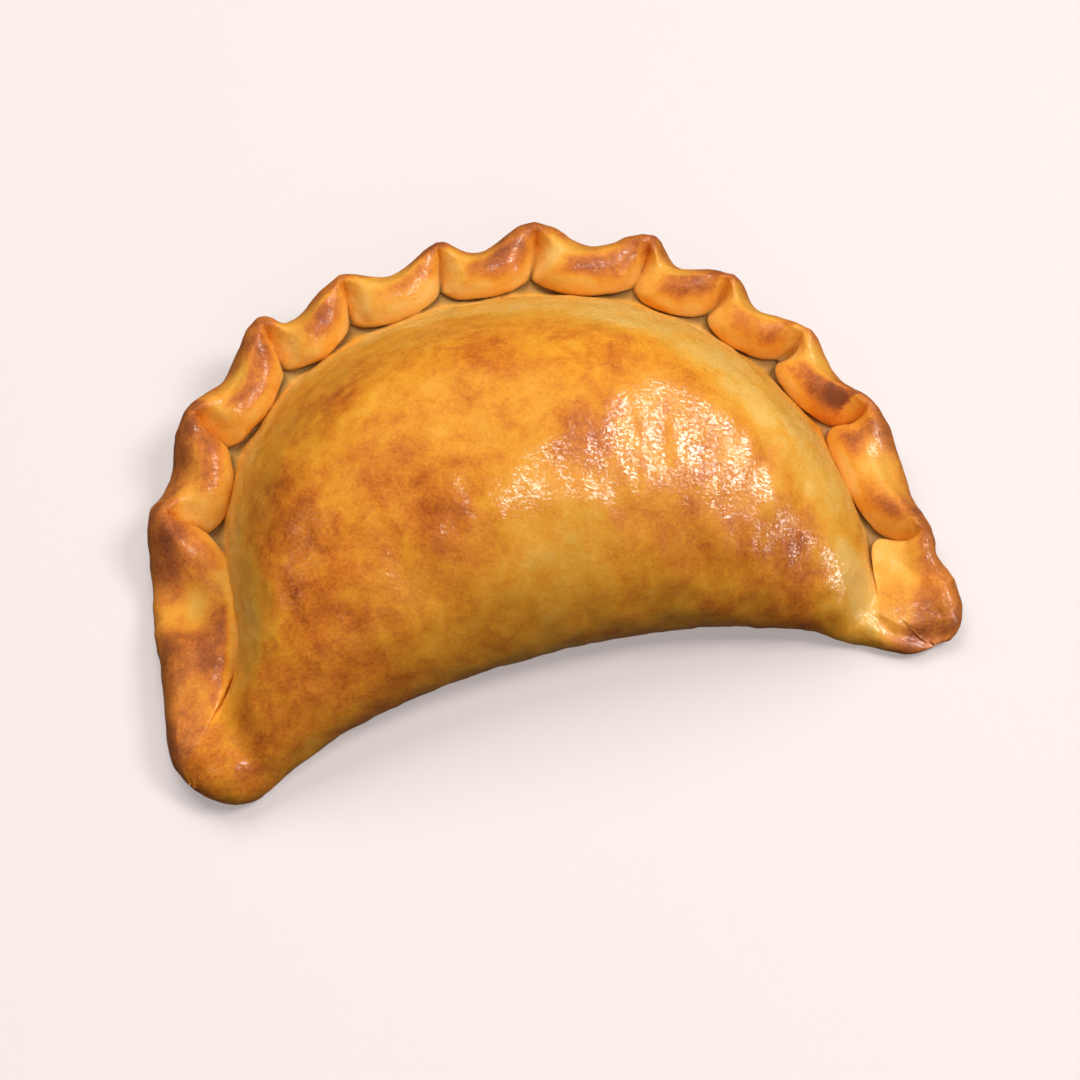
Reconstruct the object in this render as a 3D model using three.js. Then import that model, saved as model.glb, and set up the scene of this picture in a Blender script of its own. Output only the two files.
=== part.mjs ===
// A baked half-moon turnover, whole and uncut: a plump pocket of dough whose curved edge is
// closed by a rope of finger-made folds. Millimetres, +Z up. The rope lies at the back (+Y),
// the folded edge at the front (-Y), and the flat underside rests on Z = 0.
import * as THREE from "three";
import { LoftGeometry } from "three/addons/geometries/LoftGeometry.js";

// The groove between the pocket and the rope, in plan: from the left tip up the left flank,
// over the back and down the right flank to the right tip.
const LEFT_END = new THREE.Vector2(-54.3, -20.6);
const LEFT_END_LEAD = new THREE.Vector2(5.3, 5.9);
const LEFT_FLANK = new THREE.Vector2(-46.8, 2);
const LEFT_FLANK_LEAD = 9;
const LEFT_FLANK_RISE = 20;
const LEFT_SHOULDER = 37;
const GROOVE_BACK = 43.4;
const RIGHT_SHOULDER = 35.4;
const RIGHT_END = new THREE.Vector2(46.6, -20);
const RIGHT_END_LEAD = new THREE.Vector2(9.3, 33.1);

// The folded front edge, in plan: it arches back between the two tips.
const FRONT_LEFT = -46.5;
const FRONT_RIGHT = 42;
const FRONT_MIDDLE = -18.4;
const FRONT_ARCH = 7.2;
const FRONT_ARCH_SPAN = 44;
const FRONT_ARCH_PLACE = 4.4;
const FRONT_ARCH_POWER = 2.2;
const FRONT_EVENNESS = 0.55;

// The pocket in section.
const POCKET_HEIGHT = 36;
const LEFT_TIP_HEIGHT = 8.6;
const RIGHT_TIP_HEIGHT = 5.4;
const PEAK_FROM_GROOVE = 0.48;
const BACK_STEEPNESS = 1.08;
const FRONT_ROUNDNESS = 2.1;
const NOSE_HEIGHT_SHARE = 0.33;
const NOSE_UNDERCUT = 8.5;
const NOSE_UNDERCUT_SHARE = 0.3;
const UNDERSIDE_RISE_SHARE = 0.3;
const LUMPS = [
  { height: 0.4, alongX: 60, alongY: -75, phase: 0.9 },
  { height: 0.3, alongX: -34, alongY: 41, phase: 2.2 },
  { height: 0.25, alongX: 47, alongY: 29, phase: 4.6 },
];

// The rope in section, heights measured from its own underside.
const CREST_HEIGHT = 10;
const ROLL_HEIGHT = 8.9;
const ROPE_LIFT = 7.5;
const GROOVE_FLOOR = 3.1;
const ROLL_WAIST = 1.8;
const INNER_ROLL_START = 3.8;
const INNER_ROLL_END = 7.2;
const INNER_ROLL_SHARE = 0.55;
const OUTER_ROLL = 4;
const OUTER_ROLL_SHARE = 0.38;
const OUTER_EDGE_SHARE = 0.46;
const SIDE_STEPS = [{ inset: 2.4, share: 0 }, { inset: 0.7, share: 0.25 }];

// The folds of the rope, from the left tip to the right one: the length of each along the
// groove, and the width of the rope at the crest where each fold ends.
const FOLD_LENGTHS = [35.7, 14.1, 15.0, 12.4, 14.7, 14.1, 15.8, 11.8, 12.5, 13.5, 19.4, 13.5];
const CREST_WIDTHS = [11.1, 10.2, 10.4, 9.4, 9.5, 10.6, 10.6, 9.0, 8.4, 8.8, 9.4, 12.1];
const TYPICAL_FOLD = 14;
const FIRST_WIDTH = 6.8;
const FIRST_WIDTH_REACH = 19;
const FIRST_WIDTH_POWER = 2.2;
const FOLD_UNEVENNESS = 0.06;
const LAST_CREST_SHARE = 0.55;

// The creases between the folds.
const CREASE_SLANT = THREE.MathUtils.degToRad(11);
const RIGHT_FLANK_SLANT = THREE.MathUtils.degToRad(25);
const RIGHT_FLANK_START = 0.6;
const RIGHT_FLANK_END = 0.86;
const CREASE_ROUND_START = 3;
const CREASE_ROUND_END = 4.8;
const CREASE_LEAN = 2.2;
const CREASE_LEAN_REACH = 3;
const CREASE_FADE_START = 0.32;
const CREASE_FADE_END = 0.68;
const CREASE_SOFTNESS = 2;
const TUCK = 0.28;
const TUCK_REACH = 6;

// The scalloped inner edge of the folds and the scoop pressed into the outer part of each.
const SCALLOP_ROUND = 6.2;
const SCALLOP_RECESS = 2.9;
const SCALLOP_BULGE = 1.2;
const SCOOP_LEAD = 8;
const SCOOP_REACH = 8.5;
const SCOOP_SHARPNESS = 1.5;
const LAST_SCOOP = 0.12;
const SCOOP_DEPTH = 4.6;
const SCOOP_START = 0.36;
const SCOOP_END = 0.95;
const SCOOP_NARROWING = 1.8;
const RIGHT_FLANK_EASE = 0.35;
const RIDGE_PLACE = 0.38;

// The dents pressed into the first and the last fold and the ridges raised beside them: where they
// are along the fold and across the rope, how far they spread each way, how deep they are, below
// zero for the ridges, and how far they lie askew.
const DENTS = [
  { fold: 0, along: 22.5, across: 0.62, long: 5.5, wide: 0.36, depth: 3.6, askew: -0.045 },
  { fold: 0, along: 30, across: 0.6, long: 4.5, wide: 0.5, depth: -1.2, askew: 0 },
  { fold: 0, along: 19, across: 0.14, long: 11, wide: 0.2, depth: -1.3, askew: 0 },
  { fold: 0, along: 11, across: 0.5, long: 6, wide: 0.4, depth: -1.2, askew: 0 },
  { fold: 11, along: 5, across: 0.32, long: 7.5, wide: 0.36, depth: 1.7, askew: 0 },
  { fold: 11, along: 13, across: 0.8, long: 9, wide: 0.28, depth: -1.6, askew: 0 },
];

// The tips. The rings that close them lie at these shares of their length.
const TIP_EASE = 0.03;
const LEFT_TIP = {
  blend: 24,
  length: 5.9,
  headings: { rope: -94, front: -157 },
  rings: [0.3, 0.58, 0.8, 0.93, 0.985],
};
const RIGHT_TIP = {
  blend: 11,
  length: 7,
  headings: { rope: -100, front: -17 },
  rings: [0.16, 0.32, 0.46, 0.6, 0.73, 0.84, 0.93, 0.985],
};
const TIP_ROUNDNESS = 1.8;
const TIP_WEDGE = 2.1;
const RIGHT_TIP_SLANT = THREE.MathUtils.degToRad(-20);

// The layer of dough that shows in front of the right tip: where in plan the layer over it ends,
// how that edge runs to the right and to the left, and how far the surface drops there.
const LAYER_START = new THREE.Vector2(48.2, -23.5);
const LAYER_SLOPE = -0.14;
const LAYER_TURN = 1.2;
const LAYER_FADE = 4;
const LAYER_DROP = 0.3;
const LAYER_EDGE = 1.1;

// How finely the surface is divided.
const CREASE_STEPS = [0.35, 0.9, 1.8, 3.1];
const FOLD_STEP = 3.6;
const OUTER_ROLL_ANGLES = [0, 22, 45, 68];
const ROPE_TOP_STEPS = [1, 0.75, 0.5, 0.25, 0];
const INNER_ROLL_ANGLES = [70, 50, 32, 15, 0, -20, -40];
const FLAT_STEP = 0.06;
const POCKET_STEPS_BACK = [0.02, 0.08, 0.18, 0.32, 0.51, 0.75, 1];
const POCKET_ANGLES_FRONT = 6;
const NOSE_ANGLES = 3;
const UNDERSIDE_STEPS = [0.75, 0.45, 0.2];

const { clamp, degToRad, lerp, smoothstep } = THREE.MathUtils;

const groove = new THREE.Path();
groove.moveTo(LEFT_END.x, LEFT_END.y);
groove.bezierCurveTo(
  LEFT_END.x + LEFT_END_LEAD.x, LEFT_END.y + LEFT_END_LEAD.y,
  LEFT_FLANK.x, LEFT_FLANK.y - LEFT_FLANK_LEAD,
  LEFT_FLANK.x, LEFT_FLANK.y,
);
groove.bezierCurveTo(
  LEFT_FLANK.x, LEFT_FLANK.y + LEFT_FLANK_RISE,
  -LEFT_SHOULDER, GROOVE_BACK,
  0, GROOVE_BACK,
);
groove.bezierCurveTo(
  RIGHT_SHOULDER, GROOVE_BACK,
  RIGHT_END.x + RIGHT_END_LEAD.x, RIGHT_END.y + RIGHT_END_LEAD.y,
  RIGHT_END.x, RIGHT_END.y,
);
const grooveLength = groove.getLength();

// A repeatable unevenness between -1 and 1.
function uneven(index, salt) {
  const wave = Math.sin(index * 12.9898 + salt * 78.233) * 43758.5453;
  return 2 * (wave - Math.floor(wave)) - 1;
}

// A quarter round: 0 at the start, 1 and level from the given radius on.
function roundOver(distance, radius) {
  const rest = 1 - clamp(distance / radius, 0, 1);
  return Math.sqrt(1 - rest * rest);
}

// A place in plan, a distance along the groove and a distance outward from it.
function planPlace(along, outward) {
  const held = clamp(along, 0, grooveLength);
  const at = groove.getPoint(held / grooveLength);
  const heading = groove.getTangent(held / grooveLength);
  const beyond = along - held;
  return new THREE.Vector2(
    at.x + heading.x * beyond - heading.y * outward,
    at.y + heading.y * beyond + heading.x * outward,
  );
}

// The place of the folded front edge that faces a share of the way along the groove.
function frontPlace(share) {
  const bunched = (1 - Math.cos(Math.PI * share)) / 2;
  const x = lerp(FRONT_LEFT, FRONT_RIGHT, lerp(bunched, share, FRONT_EVENNESS));
  const aside = Math.abs(x - FRONT_ARCH_PLACE) / FRONT_ARCH_SPAN;
  return new THREE.Vector2(x, FRONT_MIDDLE - FRONT_ARCH * aside ** FRONT_ARCH_POWER);
}

// The stations along the groove, closer together beside each crease.
function stationList() {
  const total = FOLD_LENGTHS.reduce((sum, length) => sum + length, 0);
  const near = CREASE_STEPS[CREASE_STEPS.length - 1];
  const stations = [];
  let start = 0;
  FOLD_LENGTHS.forEach((given, fold) => {
    const length = given * grooveLength / total;
    const middle = Math.max(2, Math.round((length - 2 * near) / FOLD_STEP));
    const offsets = [0, ...CREASE_STEPS];
    for (let step = 1; step < middle; step += 1) {
      offsets.push(lerp(near, length - near, step / middle));
    }
    offsets.push(...CREASE_STEPS.map((step) => length - step).reverse());
    if (fold === FOLD_LENGTHS.length - 1) {
      offsets.push(length);
    }
    offsets.forEach((offset) => {
      stations.push({ fold, length, offset, along: start + offset });
    });
    start += length;
  });
  return stations;
}

// What a section needs to know of its station.
function stationForm(station) {
  const share = station.along / grooveLength;
  const ease = 1 - Math.exp(-((Math.min(share, 1 - share) / TIP_EASE) ** 2));
  const swell = Math.sin(Math.PI * share) * ease;
  const onLeft = share < 0.5;
  const fromTip = onLeft ? station.along : grooveLength - station.along;
  const open = smoothstep(fromTip, 0, onLeft ? LEFT_TIP.blend : RIGHT_TIP.blend);
  const tipHeight = onLeft ? LEFT_TIP_HEIGHT : RIGHT_TIP_HEIGHT;
  const first = station.fold === 0;
  const last = station.fold === FOLD_LENGTHS.length - 1;
  const lift = ROPE_LIFT * swell * swell;
  const flank = smoothstep(share, RIGHT_FLANK_START, RIGHT_FLANK_END);
  return {
    ...station,
    first,
    last,
    share,
    swell,
    open,
    tipHeight,
    lift,
    flank,
    fromCrease: first ? Infinity : station.offset,
    toCrease: last ? Infinity : station.length - station.offset,
    phase: station.offset / station.length,
    top: lerp(lerp(LEFT_TIP_HEIGHT, RIGHT_TIP_HEIGHT, share), POCKET_HEIGHT, swell),
    floor: lift + lerp(tipHeight, GROOVE_FLOOR, open),
  };
}

// The width of the rope at a crest, and how much higher or lower than usual the crest is.
const crestWidth = (fold) => CREST_WIDTHS[fold];
const crestScale = (fold) => 1 + FOLD_UNEVENNESS * uneven(fold, 1);

// A crest size carried smoothly from the crest before a fold to the crest at its end.
function carried(sizeOf, form) {
  return lerp(sizeOf(Math.max(form.fold - 1, 0)), sizeOf(form.fold), smoothstep(form.phase, 0, 1));
}

// How much of its height a fold keeps: all of it, but for the last one, which sinks to the tip.
function keptHeight(form) {
  return form.last ? lerp(1, LAST_CREST_SHARE, form.phase) : 1;
}

// How far a fold's scoop is pressed in at a station, 1 at its deepest.
function scoopAt(form) {
  const place = form.length - SCOOP_LEAD;
  const reach = form.offset < place ? Math.min(place, SCOOP_REACH) : SCOOP_LEAD;
  const away = clamp((form.offset - place) / reach, -1, 1);
  const depth = (0.5 + 0.5 * Math.cos(Math.PI * away)) ** SCOOP_SHARPNESS;
  return depth * form.open * (form.last ? LAST_SCOOP : 1 - RIGHT_FLANK_EASE * form.flank);
}

// How deep the dents are at a station, at a share of the way across the rope.
function dentAt(form, across) {
  return DENTS.filter((dent) => dent.fold === form.fold).reduce((sum, dent) => {
    const along = (form.offset - dent.along) / dent.long;
    const aside = (across - dent.across - dent.askew * (form.offset - dent.along)) / dent.wide;
    return sum + dent.depth * Math.exp(-(along * along) - aside * aside);
  }, 0);
}

// The rope's width, rolls and height at a station.
function ropeForm(form) {
  const scallop = roundOver(form.fromCrease, SCALLOP_ROUND) * roundOver(form.toCrease, SCALLOP_ROUND);
  const plumpness = form.open * form.length / TYPICAL_FOLD;
  const belly = SCALLOP_BULGE * plumpness * Math.sin(Math.PI * form.phase);
  const scoop = scoopAt(form);
  const inner = SCALLOP_RECESS * (1 - scallop) - belly;
  const grown = 1 - (1 - clamp(form.along / FIRST_WIDTH_REACH, 0, 1)) ** FIRST_WIDTH_POWER;
  const pinch = form.first || form.last ? 0 : Math.min(1, TYPICAL_FOLD / form.length);
  const outer = lerp(FIRST_WIDTH, carried(crestWidth, form), grown) - SCOOP_NARROWING * pinch * scoop;
  const whole = outer - inner;
  const innerRoll = lerp(INNER_ROLL_START, INNER_ROLL_END, smoothstep(form.phase, RIDGE_PLACE, 1));
  const full = lerp(CREST_HEIGHT, ROLL_HEIGHT, scoop) * carried(crestScale, form) * keptHeight(form);
  return {
    scoop,
    inner,
    outer,
    innerRoll: Math.min(innerRoll, INNER_ROLL_SHARE * whole),
    outerRoll: Math.min(OUTER_ROLL, OUTER_ROLL_SHARE * whole),
    bead: roundOver(form.fromCrease, CREASE_ROUND_START) * roundOver(form.toCrease, CREASE_ROUND_END),
    tuck: TUCK * (1 - smoothstep(form.fromCrease, 0, TUCK_REACH)),
    height: lerp(form.tipHeight, full, form.open),
  };
}

// How far forward along the groove a section leans, for each millimetre outward.
function slantAt(form) {
  const slant = lerp(CREASE_SLANT, RIGHT_FLANK_SLANT, form.flank);
  return lerp(Math.tan(slant), Math.tan(RIGHT_TIP_SLANT), form.last ? form.phase : 0);
}

// The top of the rope from its outer edge to the groove.
function ropeTop(form) {
  const rope = ropeForm(form);
  const floor = form.floor - form.lift;
  const waist = Math.min(floor + ROLL_WAIST, rope.height);
  const nearest = Math.min(form.fromCrease, form.toCrease);
  const leanShare = Math.exp(-((nearest / CREASE_LEAN_REACH) ** 2));
  const softNotch = Math.exp(-((nearest / CREASE_SOFTNESS) ** 2));

  function acrossAt(outward) {
    return (outward - rope.inner) / (rope.outer - rope.inner);
  }

  function creasedAt(outward) {
    return 1 - smoothstep(acrossAt(outward), CREASE_FADE_START, CREASE_FADE_END);
  }

  function ridgeAt(outward) {
    const pressed = SCOOP_DEPTH * rope.scoop * smoothstep(acrossAt(outward), SCOOP_START, SCOOP_END);
    return rope.height * (1 - rope.tuck * creasedAt(outward)) - pressed - dentAt(form, acrossAt(outward));
  }

  function pointAt(outward, height) {
    const creased = creasedAt(outward);
    const cut = creased * lerp(1 - rope.bead, softNotch, form.flank * (1 - creased));
    const kept = lerp(height, Math.min(height, floor), cut);
    const lean = CREASE_LEAN * leanShare * creased * (kept - floor) / CREST_HEIGHT;
    const slant = slantAt(form) * Math.max(outward, 0);
    const place = planPlace(form.along + slant + lean, outward);
    return new THREE.Vector3(place.x, place.y, form.lift + kept);
  }

  const outerSide = OUTER_ROLL_ANGLES.map(degToRad).map((angle) => {
    const outward = rope.outer - rope.outerRoll * (1 - Math.cos(angle));
    const ridge = ridgeAt(outward);
    return pointAt(outward, lerp(OUTER_EDGE_SHARE * ridge, ridge, Math.sin(angle)));
  });
  const crown = ROPE_TOP_STEPS.map((step) => {
    const outward = lerp(rope.inner + rope.innerRoll, rope.outer - rope.outerRoll, step);
    return pointAt(outward, ridgeAt(outward));
  });
  const lowest = degToRad(INNER_ROLL_ANGLES[INNER_ROLL_ANGLES.length - 1]);
  const innerSide = INNER_ROLL_ANGLES.map(degToRad).map((angle) => {
    const under = Math.max(Math.sin(angle) / Math.sin(lowest), 0);
    const rolled = rope.innerRoll * (1 - Math.cos(angle));
    const outward = rope.inner + (under > 0 ? lerp(-FLAT_STEP * under, rolled, form.open) : rolled);
    const above = lerp(waist, Math.max(ridgeAt(outward), waist), Math.sin(angle));
    return pointAt(outward, under > 0 ? lerp(waist, floor, under) : above);
  });
  return [...outerSide, ...crown, ...innerSide];
}

// A place on the line from the groove to the front edge, at a share of its length.
function pocketPlace(form, share) {
  return planPlace(form.along, 0).lerp(frontPlace(form.share), share);
}

// The gentle unevenness of the baked top: waves of the given lengths in plan.
function lump(place) {
  return LUMPS.reduce((sum, wave) => {
    const turns = place.x / wave.alongX + place.y / wave.alongY;
    return sum + wave.height * Math.sin(2 * Math.PI * turns + wave.phase);
  }, 0);
}

// A point of the pocket's top, from its foot height at a rise between 0 and 1.
function pocketPoint(form, share, foot, rise) {
  const place = pocketPlace(form, share);
  const raised = form.swell * rise * lump(place);
  return new THREE.Vector3(place.x, place.y, lerp(foot, form.top, rise) + raised);
}

// The top of the pocket from the groove over the peak and down to the nose of the front edge.
function pocketTop(form) {
  const nose = NOSE_HEIGHT_SHARE * form.top;
  const points = POCKET_STEPS_BACK.map((step) => (
    pocketPoint(form, PEAK_FROM_GROOVE * step, form.floor, Math.sin(step * Math.PI / 2) ** BACK_STEEPNESS)
  ));
  for (let step = POCKET_ANGLES_FRONT - 1; step >= 0; step -= 1) {
    const angle = step / POCKET_ANGLES_FRONT * Math.PI / 2;
    const run = 1 - Math.cos(angle) ** (2 / FRONT_ROUNDNESS);
    const rise = Math.sin(angle) ** (2 / FRONT_ROUNDNESS);
    points.push(pocketPoint(form, 1 - (1 - PEAK_FROM_GROOVE) * run, nose, rise));
  }
  return points;
}

// The underside, from the nose of the front edge back to the groove.
function underside(form) {
  const reach = planPlace(form.along, 0).distanceTo(frontPlace(form.share));
  const contact = 1 - Math.min(NOSE_UNDERCUT, NOSE_UNDERCUT_SHARE * reach) / reach;
  const nose = NOSE_HEIGHT_SHARE * form.top;
  const points = [];
  for (let step = 1; step <= NOSE_ANGLES; step += 1) {
    const angle = step / NOSE_ANGLES * Math.PI / 2;
    const place = pocketPlace(form, lerp(contact, 1, Math.cos(angle)));
    points.push(new THREE.Vector3(place.x, place.y, nose * (1 - Math.sin(angle))));
  }
  [...UNDERSIDE_STEPS, 0].forEach((step) => {
    const place = pocketPlace(form, contact * step);
    const rise = 1 - smoothstep(step, 0, UNDERSIDE_RISE_SHARE);
    points.push(new THREE.Vector3(place.x, place.y, form.lift * rise));
  });
  return points;
}

// The lower outer side of the rope, from its underside up towards its widest place.
function ropeSide(form, widest) {
  const along = form.along + slantAt(form) * crestWidth(form.fold);
  const inward = planPlace(along, 0).sub(planPlace(along, 1));
  const rise = widest.z - form.lift;
  return SIDE_STEPS.map(({ inset, share }) => (
    new THREE.Vector3(widest.x + inward.x * inset, widest.y + inward.y * inset, form.lift + rise * share)
  ));
}

// One closed section, counterclockwise as seen from the right tip.
function sectionAt(station) {
  const form = stationForm(station);
  const rope = ropeTop(form);
  return [...rope, ...pocketTop(form), ...underside(form), ...ropeSide(form, rope[0])];
}

// A unit heading in plan, its angle measured in degrees from +X.
function headingAt(degrees) {
  return new THREE.Vector2(1, 0).rotateAround(new THREE.Vector2(), degToRad(degrees));
}

// The rings that close a tip: its end section, drawn in on its own middle. Its rope side and its
// front side set out along headings of their own and end up going the same way.
function tipRings(section, front, height, tip) {
  const rope = new THREE.Vector2(section[0].x, section[0].y);
  const across = front.clone().sub(rope);
  const middle = rope.clone().lerp(front, 0.5);
  const [ropeHeading, frontHeading] = [headingAt(tip.headings.rope), headingAt(tip.headings.front)];
  const middleHeading = ropeHeading.clone().lerp(frontHeading, 0.5).normalize();
  return tip.rings.map((step) => section.map((point) => {
    const span = (1 - step ** TIP_WEDGE) ** (1 / TIP_WEDGE);
    const rise = (1 - step ** TIP_ROUNDNESS) ** (1 / TIP_ROUNDNESS);
    const place = new THREE.Vector2(point.x, point.y);
    const share = clamp(place.clone().sub(rope).dot(across) / across.lengthSq(), 0, 1);
    const heading = ropeHeading.clone().lerp(frontHeading, share).lerp(middleHeading, step);
    place.lerpVectors(middle, place, span).addScaledVector(heading, tip.length * step);
    return new THREE.Vector3(place.x, place.y, lerp(height / 2, point.z, rise));
  }));
}

// A point of the surface, lowered in front of the edge where the upper layer of the right tip ends.
function layered(point) {
  const beside = point.x - LAYER_START.x;
  const edge = LAYER_START.y + LAYER_SLOPE * Math.max(beside, 0) + LAYER_TURN * Math.max(-beside, 0);
  const shown = smoothstep(beside, -LAYER_FADE, 0) * smoothstep(edge - point.y, 0, LAYER_EDGE);
  return new THREE.Vector3(point.x, point.y, point.z * (1 - LAYER_DROP * shown));
}

function pastryGeometry() {
  const sections = stationList().map(sectionAt);
  const [first, last] = [sections[0], sections[sections.length - 1]];
  const leftRings = tipRings(first, frontPlace(0), LEFT_TIP_HEIGHT, LEFT_TIP).reverse();
  const rightRings = tipRings(last, frontPlace(1), RIGHT_TIP_HEIGHT, RIGHT_TIP);
  const rings = [...leftRings, ...sections, ...rightRings].map((ring) => ring.map(layered));
  const geometry = new LoftGeometry(rings, { capStart: true, capEnd: true });
  geometry.computeBoundingBox();
  const middle = geometry.boundingBox.getCenter(new THREE.Vector3());
  return geometry.translate(-middle.x, -middle.y, 0);
}

const crust = new THREE.MeshStandardMaterial({ color: 0xc9822e, roughness: 0.42, metalness: 0 });
const pastry = new THREE.Mesh(pastryGeometry(), crust);
pastry.name = "pastry";

const turnover = new THREE.Group();
turnover.name = "turnover";
turnover.add(pastry);

export default turnover;
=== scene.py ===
"""A baked half-moon empanada dressed over its solid: egg-washed crust, pale floor, soft light."""

import logging
import math
from dataclasses import dataclass
from enum import Enum

import bpy
import numpy as np
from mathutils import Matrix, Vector

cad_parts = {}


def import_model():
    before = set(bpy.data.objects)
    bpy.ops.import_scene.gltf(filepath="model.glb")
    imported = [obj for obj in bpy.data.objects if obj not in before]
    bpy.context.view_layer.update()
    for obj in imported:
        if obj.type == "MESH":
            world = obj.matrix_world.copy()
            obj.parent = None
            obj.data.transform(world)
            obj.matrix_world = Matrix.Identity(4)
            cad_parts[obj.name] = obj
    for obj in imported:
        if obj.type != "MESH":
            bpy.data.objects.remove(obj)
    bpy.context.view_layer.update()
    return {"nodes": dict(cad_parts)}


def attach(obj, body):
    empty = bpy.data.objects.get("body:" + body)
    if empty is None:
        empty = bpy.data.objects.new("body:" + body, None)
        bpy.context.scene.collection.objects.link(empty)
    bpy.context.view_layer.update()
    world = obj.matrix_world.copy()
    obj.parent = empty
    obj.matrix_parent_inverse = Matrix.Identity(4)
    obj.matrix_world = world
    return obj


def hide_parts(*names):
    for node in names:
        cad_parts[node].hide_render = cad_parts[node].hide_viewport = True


Pair = tuple[float, float]
Triple = tuple[float, float, float]

MM = 0.001
WARM_WHITE = (1.0, 0.98, 0.96)
log = logging.getLogger("empanada")


class BakeTone(Enum):
    """The tones of the crust from raw to dark: place on the bake scale, then linear colour."""

    CREAM = (0.0, (0.86, 0.50, 0.12))
    BLOND = (0.22, (0.84, 0.395, 0.045))
    GOLD = (0.42, (0.79, 0.305, 0.022))
    AMBER = (0.62, (0.63, 0.18, 0.016))
    BROWN = (0.82, (0.38, 0.083, 0.010))
    DARK = (1.0, (0.19, 0.036, 0.007))

    def __init__(self, place: float, colour: Triple) -> None:
        """Takes the place and the colour apart."""
        self.place = place
        self.colour = colour


class Mark(Enum):
    """The numbers that the crust stores at each point for its finish."""

    BAKE = "bake"
    CREASE = "crease"
    WASH = "wash"


def smooth_step(values: np.ndarray, low: float, high: float) -> np.ndarray:
    """Ramps values from 0 at low to 1 at high, level at both ends.

    Args:
        values: The numbers to ramp.
        low: Where the ramp starts.
        high: Where the ramp ends.

    Returns:
        The ramped numbers.
    """
    share = np.clip((values - low) / (high - low), 0.0, 1.0)
    return share * share * (3.0 - 2.0 * share)


def hump(values: np.ndarray, rise: Pair, fall: Pair) -> np.ndarray:
    """Ramps values up from 0 to 1 over one span and down again over a later one.

    Args:
        values: The numbers to ramp.
        rise: Where they go up.
        fall: Where they go down.

    Returns:
        The ramped numbers.
    """
    return smooth_step(values, *rise) * (1.0 - smooth_step(values, *fall))


@dataclass(frozen=True)
class Cloud:
    """A cloudy noise laid out over the crust.

    Attributes:
        size: The size of its largest patches, in millimetres.
        detail: How many finer layers it has.
        roughness: How strong those are.
        swirl: How far the patches are pulled about.
        stretch: How much each axis is scaled, once turned.
        turn: The turn about the height, in radians.
    """

    size: float
    detail: float
    roughness: float
    swirl: float = 0.0
    stretch: Triple = (1.0, 1.0, 1.0)
    turn: float = 0.0


@dataclass
class NodeBoard:
    """Adds and links the nodes of one material."""

    tree: bpy.types.NodeTree

    def add(self, kind: str, values: dict[str | int, object]) -> bpy.types.Node:
        """Adds a node and fills its inputs.

        Args:
            kind: The node's type name.
            values: What each input gets, a socket to link or a constant to set.

        Returns:
            The new node.
        """
        node = self.tree.nodes.new(kind)
        for name, value in values.items():
            if isinstance(value, bpy.types.NodeSocket):
                self.tree.links.new(value, node.inputs[name])
            else:
                node.inputs[name].default_value = value
        return node

    def stored(self, mark: Mark) -> bpy.types.NodeSocket:
        """Returns the number that the mesh stores under a mark."""
        node = self.add("ShaderNodeAttribute", {})
        node.attribute_name = mark.value
        return node.outputs["Fac"]

    def noise(self, cloud: Cloud) -> bpy.types.NodeSocket:
        """Returns a cloudy noise between 0 and 1.

        Args:
            cloud: How it looks, measured in millimetres on the piece itself.

        Returns:
            The socket that gives the noise.
        """
        place = self.add("ShaderNodeTexCoord", {}).outputs["Object"]
        turned = self.add("ShaderNodeVectorRotate", {"Vector": place, "Angle": cloud.turn})
        scale = tuple(share / MM for share in cloud.stretch)
        scaled = self.add("ShaderNodeMapping", {"Vector": turned.outputs["Vector"], "Scale": scale})
        values = {
            "Vector": scaled.outputs["Vector"],
            "Scale": 1.0 / cloud.size,
            "Detail": cloud.detail,
            "Roughness": cloud.roughness,
            "Distortion": cloud.swirl,
        }
        return self.add("ShaderNodeTexNoise", values).outputs[0]

    def work(self, how: str, first: object, second: object) -> bpy.types.NodeSocket:
        """Returns two numbers worked together by a named rule of arithmetic."""
        node = self.add("ShaderNodeMath", {0: first, 1: second})
        node.operation = how
        return node.outputs["Value"]

    def blend(self, colour: bpy.types.NodeSocket, other: Triple,
              share: bpy.types.NodeSocket) -> bpy.types.NodeSocket:
        """Returns a colour with a share of another one blended in."""
        values = {"Fac": share, "Color1": colour, "Color2": (*other, 1.0)}
        return self.add("ShaderNodeMixRGB", values).outputs["Color"]

    def ramp(self, value: bpy.types.NodeSocket, source: Pair, target: Pair) -> bpy.types.NodeSocket:
        """Returns a number carried from one range to another and held there.

        Args:
            value: The number.
            source: The range it comes from.
            target: The range it goes to.

        Returns:
            The socket that gives the carried number.
        """
        values = {
            "Value": value,
            "From Min": source[0],
            "From Max": source[1],
            "To Min": target[0],
            "To Max": target[1],
        }
        return self.add("ShaderNodeMapRange", values).outputs["Result"]


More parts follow.
